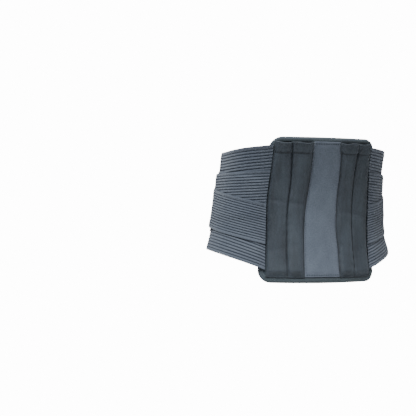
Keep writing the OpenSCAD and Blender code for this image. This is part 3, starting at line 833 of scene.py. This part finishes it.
for side, name in SIDES:
    finish_piece(make_pocket(side, f"pocket_cloth_{name}"), "pocket", "back_panel",
                 nodes=(f"pocket_pair_{name}",))
    z = np.linspace(POCKET_FOOT + 2, POCKET_TOP - 2, 90)
    for part, u in (("seam", pocket_seam(z, side)), ("inner", strip_edge(z, side) + 2.3),
                    ("outer", pocket_edge(z) - 2.2)):
        sew(f"pocket_{name}_{part}_stitches", u, z, pocket_height(u, z, side) + 0.02, side, radius=0.28)
    u = np.linspace(strip_edge(100, side) + 3, pocket_edge(97) - 2, 60)
    z = POCKET_TOP - HEM + 0 * u
    sew(f"pocket_{name}_hem_stitches", u, z + pocket_mouth(u, side) * 0.1, pocket_height(u, z, side) + 0.1, side,
        radius=0.3)
    u = np.linspace(strip_edge(-110, side) + 3, pocket_edge(-110) - 2, 40)
    z = POCKET_FOOT + 3.2 + 0 * u
    sew(f"pocket_{name}_foot_stitches", u, z, pocket_height(u, z, side) + 0.05, side)

# ---- Wings ----

UPPER, LOWER, PATCH = (0.3, 1.9), (2.2, 3.9), (4.1, 5.1)
PULL_UPPER, PULL_LOWER = (5.7, 7.3), (7.6, 9.2)
LEFT_END = LOOP_HALF + TONGUE
# the wings bend between these places; the bend runs along a line that leaves both front ends past its end
ROOT_BEND, ROOT_TURN = (97.0, 126.0), math.radians(47)
STRAP_GAP, STRAP_BEND, TAB_LAP = 0.4, 26.0, 6.0
SETTLE, SETTLE_MORE = 1.5, 1.8


def pull_share(a):
    return side_ease(a, TAB_START)


def pull_upper_top(a):
    return mix(68.0, 60.0, pull_share(a))


def pull_lower_top(a):
    return mix(11.0, 35.0, pull_share(a))


def hem_flare(u, z):
    """The lower band's hem stands out from the hip a little: a settling of less than nothing."""
    return -2.6 * smooth((-z - 42) / 36)


def settle_pull_upper(u, z):
    """How far a pull strap lies below its CAD layer: further where there is one band less under it."""
    return SETTLE + SETTLE_MORE * smooth((z - lower_top(u) - 1) / 12)


def settle_pull_lower(u, z):
    falls = smooth((pull_upper_top(u) - PULL_W - z - 1) / 16)
    return SETTLE + SETTLE_MORE * falls + hem_flare(u, z)


for side, name in SIDES:
    wing = f"{name}_wing"
    end = LEFT_END if side > 0 else SEWN_MID
    warp, rise = (left_warp, flat_rise) if side > 0 else (right_warp, lift)
    bend = bend_at("back_panel", wing, *ROOT_BEND, side, turn=ROOT_TURN)
    ob = band(f"{name}_upper_elastic", side, ROOT_S, end, lambda a: wing_top(a) - UPPER_BAND_W, wing_top,
              UPPER, (0.3, 1.2), 19, (6, 6), warp, rise)
    finish_piece(ob, "elastic", bend=bend, nodes=(f"{name}_upper_band",))
    ob = band(f"{name}_lower_elastic", side, ROOT_S, end, wing_foot, lower_top, LOWER, (1.3, 2.1), 25, (5, 5),
              warp, rise, settle=hem_flare)
    finish_piece(ob, "elastic", bend=bend, nodes=(f"{name}_lower_band",))
    for layer, top, count, selvages, sewn, settle, part in (
            (PULL_UPPER, pull_upper_top, 12, (5, 5), (2.2, 3.0), settle_pull_upper, "upper"),
            (PULL_LOWER, pull_lower_top, 13, (5, 6), (3.1, 3.9), settle_pull_lower, "lower")):
        low = lambda a, top=top: top(a) - PULL_W
        ob = band(f"{name}_pull_{part}_root", side, ROOT_S, STRAP_FREE - STRAP_GAP, low, top, layer, sewn, count,
                  selvages, ends=(False, False), settle=settle)
        finish_piece(ob, "elastic", bend=bend,
                     nodes=(f"{name}_strap_root",) if part == "upper" else ())
        ob = band(f"{name}_pull_{part}_elastic", side, STRAP_FREE - STRAP_GAP, TAB_START + TAB_LAP, low, top,
                  layer, None, count, selvages, warp=lambda s, z: s, ends=(False, True), settle=settle)
        finish_piece(ob, "elastic", bend=bend_at(wing, f"{name}_strap", STRAP_FREE, STRAP_FREE + STRAP_BEND, side),
                     nodes=(f"{name}_pull_{part}",))

PATCH_FROM, PATCH_ENDS = TAB_START - 15, {1: LOOP_HALF + 8, -1: LOOP_HALF - 74}
PATCH_INNER, PATCH_BASE, PATCH_PILE = 4.0, 4.5, 0.75


def patch_top(a):
    return mix(58.0, 47.0, smooth((a - PATCH_FROM) / 90))


def patch_foot(a):
    return mix(-44.0, -57.0, smooth((a - PATCH_FROM) / 90))


def make_patch(side, name):
    end = PATCH_ENDS[side]
    s = stations(PATCH_FROM, end, 4.0, True, True)[:, None]
    t = np.concatenate([[0, 0.002, 0.006, 0.014], np.linspace(0.03, 0.97, 30), [0.986, 0.994, 0.998, 1]])[None, :]
    z = mix(patch_foot(s), patch_top(s), t)
    u = s + 0 * z
    if side < 0:
        # its last stretch leans as the flap's sewn edge does
        slant = 20
        u = np.where(s < end - slant, u, end - slant + (s - end + slant) * (1 + END_SLANT * (z + 3) / slant))
    up = 0 * u if side > 0 else lift(u)
    e = np.minimum(np.minimum(s - PATCH_FROM, end - s) + 0 * z, np.minimum(t, 1 - t) * 105)
    nap = 0.12 * np.sin(u * 1.3 + 3 * np.sin(z * 0.7)) * np.sin(z * 1.1 + 2 * np.sin(u * 0.5))
    return closed_sheet(name, u, z, PATCH_BASE + up + (PATCH_PILE + nap) * roll(e, 1.2), PATCH_INNER + up, side)


for side, name in SIDES:
    finish_piece(make_patch(side, f"{name}_loop_cloth"), "loop", f"{name}_wing",
                 nodes=(f"{name}_loop_patch",))


def upright_tape(name, side, u, z, half, inner, outer):
    """A narrow tape up a path of places, with rolled edges."""
    across = np.linspace(-1, 1, 9)[None, :] * half
    uu = u[:, None] + across
    zz = z[:, None] + 0 * across
    e = half - np.abs(across) + 0 * uu
    return closed_sheet(name, uu, zz, mix(inner, outer, roll(e, 1.2)), inner + 0 * uu, side)


z = np.linspace(FOOT_FRONT + 0.5, VEE_Z - 5.5, 60)
finish_piece(upright_tape("left_end_tape", 1, LEFT_END - 1.5 + 0 * z, z, 4.0, 3.2, 4.5), "binding",
             "left_wing", nodes=("left_end_binding",))
z = np.linspace(FLAP_FOOT + 5, VEE_Z - 5, 60)
tape_u, tape_half, tape_inner, tape_outer = sewn_end(z) - 3.2, 3.2, 9.9, 11.0
finish_piece(upright_tape("closure_sewing_tape", -1, tape_u, z, tape_half, tape_inner, tape_outer), "binding",
             "right_wing", nodes=("closure_seam_tape",))
for row, offset in (("inner", -tape_half / 2), ("outer", tape_half / 2)):
    sew(f"closure_sewing_stitches_{row}", tape_u + offset, z, tape_outer, -1, "right_wing")

# ---- Finger tabs ----

# the left tab's free edge: the share of its height from the foot, and its width there
TAB_WAVE = np.array([[0, 23], [0.04, 27], [0.1, 29.5], [0.2, 31.5], [0.32, 33.5], [0.45, 34], [0.57, 31.5],
                     [0.68, 30.5], [0.8, 33.5], [0.89, 32], [0.96, 28], [1, 23]])


def wave_through(points, x):
    """A smooth curve through a table of points: Catmull-Rom, in the table's own order."""
    xs, ys = points[:, 0], points[:, 1]
    slope = np.gradient(ys, xs)
    i = np.clip(np.searchsorted(xs, x) - 1, 0, len(xs) - 2)
    h = xs[i + 1] - xs[i]
    t = np.clip((x - xs[i]) / h, 0, 1)
    return ((2 * t**3 - 3 * t**2 + 1) * ys[i] + (t**3 - 2 * t**2 + t) * h * slope[i]
            + (-2 * t**3 + 3 * t**2) * ys[i + 1] + (t**3 - t**2) * h * slope[i + 1])


def tab_width(t, side):
    return wave_through(TAB_WAVE, t if side > 0 else 1 - t)


def make_tab(side, name, d0, d1, start, trim):
    t = np.concatenate([[0, 0.003, 0.008, 0.016], np.linspace(0.03, 0.97, 40), [0.984, 0.992, 0.997, 1]])[None, :]
    s = np.concatenate([[0, 0.006, 0.02], np.linspace(0.05, 0.95, 14), [0.97, 0.985, 0.995, 1]])[:, None]
    u = TAB_START + mix(start, tab_width(t, side) - trim, s)
    z = TAB_TOP - TAB_H * (1 - t) + 0 * s
    e = np.minimum(np.minimum(s, 1 - s) * 30, np.minimum(t, 1 - t) * TAB_H)
    dent = 0.3 * bell(e - 3.2, 0.9) if trim == 0 else 0 * e
    puff = 0.25 * np.sin(z / 11.0) * smooth(e / 8)
    return closed_sheet(name, u, z, d0 + 0.4 + (d1 - d0 - 0.4 - dent + puff) * roll(e, 1.1), d0 + 0 * u, side)


for side, name in SIDES:
    bend = bend_at(f"{name}_strap", f"{name}_tab", TAB_START + 1, TAB_START + 10, side, 8.0, 8.0)
    finish_piece(make_tab(side, f"{name}_tab_velour", 7.4, 9.4, 0, 0), "velour", bend=bend,
                 nodes=(f"{name}_tab_face",))
    finish_piece(make_tab(side, f"{name}_tab_hooks", 5.7, 7.2, 2, 4), "hook", bend=bend,
                 nodes=(f"{name}_tab_hook",))
    t = np.linspace(0.04, 0.96, 60)
    u = np.concatenate([TAB_START + 3.2 + 0 * t[:1], TAB_START + tab_width(t, side) - 3.2, TAB_START + 3.2 + 0 * t])
    z = TAB_TOP - TAB_H * (1 - np.concatenate([t[:1], t, t[::-1]]))
    sew(f"{name}_tab_stitches", u, z, 9.15, side, bend=bend)

# ---- Closure flap ----

# the flap's free edge: its height, and how far it is from the middle of the front
FLAP_WAVE = np.array([[-89, 34], [-86, 42], [-80, 46.5], [-70, 50], [-60, 54], [-47, 70], [-36, 77], [-24, 80],
                      [-7, 78], [4, 71], [14, 64], [22, 63], [31, 65], [39, 62.5], [44, 56], [47, 46]], float)


FLAP_INNER, FLAP_EDGE, FLAP_THICK, FLAP_CURL = 7.2, 0.5, 1.8, 0.9
HOOKS_INNER, HOOKS_OUTER = 6.0, 7.0


def flap_rise(u, z):
    return FLAP_RISE * (1 - smooth((flap_root(z) - u) / 16))


def flap_line(z):
    """Where the stitch line that holds the hooks runs."""
    return along_front(mix(36.0, 52.0, (z - FLAP_FOOT) / (FLAP_FREE_TOP - FLAP_FOOT)))


def flap_base(u, z, e, s):
    """The flap's inner side: raised over the wing's end, and curling up a little at its free edge, where s is 0."""
    return FLAP_INNER + flap_rise(u, z) + FLAP_CURL * smooth((14 - e) / 14) * smooth(1.5 - 9 * s)


def flap_relief(u, z, e):
    return 0.35 * np.sin(u / 19.0 + z / 23.0) * smooth(e / 12) - 0.35 * bell(u - flap_line(z))


def make_flap():
    s = np.concatenate([[0, 0.003, 0.008, 0.016], np.linspace(0.03, 0.985, 26), [1]])[:, None]
    t = np.concatenate([[0, 0.002, 0.006, 0.012], np.linspace(0.02, 0.98, 60), [0.988, 0.994, 0.998, 1]])[None, :]
    free_z = mix(FLAP_FOOT, FLAP_FREE_TOP, t)
    z = mix(free_z, mix(FLAP_FOOT + 3, FLAP_TOP, t), s)
    u = mix(along_front(wave_through(FLAP_WAVE, free_z)), flap_root(z), s)
    e = np.minimum(s * 80 + 0 * z, np.minimum(t, 1 - t) * 138)
    base = flap_base(u, z, e, s)
    pile = FLAP_THICK - FLAP_EDGE + flap_relief(u, z, e)
    return closed_sheet("closure_velour", u, z, base + FLAP_EDGE + pile * roll(e, 1.2), base)


def make_flap_hooks():
    """The hooks under the flap, from its stitch line to short of its sewn edge."""
    low, high, inset = FLAP_FOOT + 8, FLAP_FREE_TOP - 4, 18
    s, t = np.linspace(0, 1, 16)[:, None], np.linspace(0, 1, 30)[None, :]
    z = mix(low, high, t) + 0 * s
    u = mix(along_front(mix(36.0, 52.0, t)), flap_root(z) - inset, s)
    return closed_sheet("closure_hooks", u, z, HOOKS_OUTER + 0 * u, HOOKS_INNER + 0 * u)


root_point = np.array([place(flap_root(zz), zz, 9.0) for zz in (-60.0, 30.0)])
edge_dir = (root_point[1] - root_point[0]) / np.linalg.norm(root_point[1] - root_point[0])
middle = root_point.mean(0)
away = place(flap_root(-15.0) - 20, -15.0, 8.0) - middle
away = away - (away @ edge_dir) * edge_dir
away /= np.linalg.norm(away)
flap_bend = ("right_wing", "closure", tuple(middle + away * 0.001), tuple(middle + away * 0.018))
finish_piece(make_flap(), "flap_velour", bend=flap_bend, nodes=("closure_face",))
finish_piece(make_flap_hooks(), "hook", bend=flap_bend, nodes=("closure_hook",))
z = np.linspace(FLAP_FOOT + 6, FLAP_FREE_TOP - 14, 60)
for name, u in (("line", flap_line(z)), ("edge", flap_root(z) - 4.0)):
    e = np.minimum(z - FLAP_FOOT, FLAP_FREE_TOP - z)
    face = flap_base(u, z, e, 1) + FLAP_THICK + flap_relief(u, z, e)
    sew(f"closure_{name}_stitches", u, z, face + 0.05, bend=flap_bend)

# ---- Stays: the CAD's own shapes ----

for name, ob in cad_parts.items():
    kind = "metal" if name.startswith("stay_") else "dip" if name.startswith("tips_") else None
    if kind:
        ob.data.materials.clear()
        ob.data.materials.append(MATERIALS[kind])

# ---- Stage ----

bpy.ops.mesh.primitive_circle_add(vertices=96, radius=0.9, fill_type="NGON", location=(0, 0, -0.75))
floor = bpy.context.object
floor.name = "floor"
floor_material = Cloth("floor", 0.9, specular=0.1, space="object")
shade = floor_material.ramp(floor_material.noise(3.0), [(0.0, linear(236, 236, 234)),
                                                        (1.0, linear(244, 244, 242))])
floor_material.bsdf.inputs["Emission Color"].default_value = (1, 1, 1, 1)
floor_material.bsdf.inputs["Emission Strength"].default_value = 0.5
floor.data.materials.append(floor_material.colour(shade))


AMBIENT, BACKDROP = 0.17, 14.0


def softbox(name, location, size, power, colour=(1.0, 1.0, 1.0)):
    """A round light that shines on the belt's middle."""
    data = bpy.data.lights.new(name, "AREA")
    data.color = colour
    data.shape, data.size, data.energy = "DISK", size, power
    ob = bpy.data.objects.new(name, data)
    ob.location = location
    ob.rotation_euler = (-Vector(location)).to_track_quat("-Z", "Y").to_euler()
    bpy.context.scene.collection.objects.link(ob)


softbox("key_light", (1.3, 1.1, 3.3), 1.2, 190)
softbox("fill_light", (-1.7, 1.3, 2.3), 1.8, 30, (1.0, 0.92, 0.86))
softbox("front_light", (-0.9, -1.9, 2.3), 1.4, 72)

world = bpy.data.worlds.new("studio")
bpy.context.scene.world = world
world.use_nodes = True
nodes, links = world.node_tree.nodes, world.node_tree.links
background = nodes["Background"]
backdrop = nodes.new("ShaderNodeBackground")
path, choice = nodes.new("ShaderNodeLightPath"), nodes.new("ShaderNodeMixShader")
background.inputs["Color"].default_value = (1, 1, 1, 1)
background.inputs["Strength"].default_value = AMBIENT
backdrop.inputs["Color"].default_value = (1, 1, 1, 1)
backdrop.inputs["Strength"].default_value = BACKDROP
links.new(path.outputs["Is Camera Ray"], choice.inputs["Fac"])
links.new(background.outputs["Background"], choice.inputs[1])
links.new(backdrop.outputs["Background"], choice.inputs[2])
links.new(choice.outputs["Shader"], nodes["World Output"].inputs["Surface"])

# ---- Camera: behind the belt and a little to its left ----

AZIMUTH, ELEVATION, DISTANCE = math.radians(157.65), math.radians(1.27), 1.5844
PAN, PITCH, ROLL = math.radians(-5.97), math.radians(0.05), math.radians(-1.04)
SENSOR_MM, LENS_MM = 36.0, 74.86
level = math.cos(ELEVATION)
back = Vector((math.sin(AZIMUTH) * level, -math.cos(AZIMUTH) * level, math.sin(ELEVATION)))
right = Vector((0, 0, 1)).cross(back).normalized()
up = back.cross(right)
aim = Matrix((right, up, back))
turn = Matrix.Rotation(ROLL, 3, "Z") @ Matrix.Rotation(PITCH, 3, "X") @ Matrix.Rotation(PAN, 3, "Y")
camera_data = bpy.data.cameras.new("camera")
camera_data.sensor_width, camera_data.lens = SENSOR_MM, LENS_MM
camera = bpy.data.objects.new("camera", camera_data)
bpy.context.scene.collection.objects.link(camera)
# the camera is aimed at the belt's middle, then turned away to put the belt at its place in the frame
camera.matrix_world = Matrix.Translation(back * DISTANCE) @ (turn @ aim).transposed().to_4x4()
bpy.context.scene.camera = camera
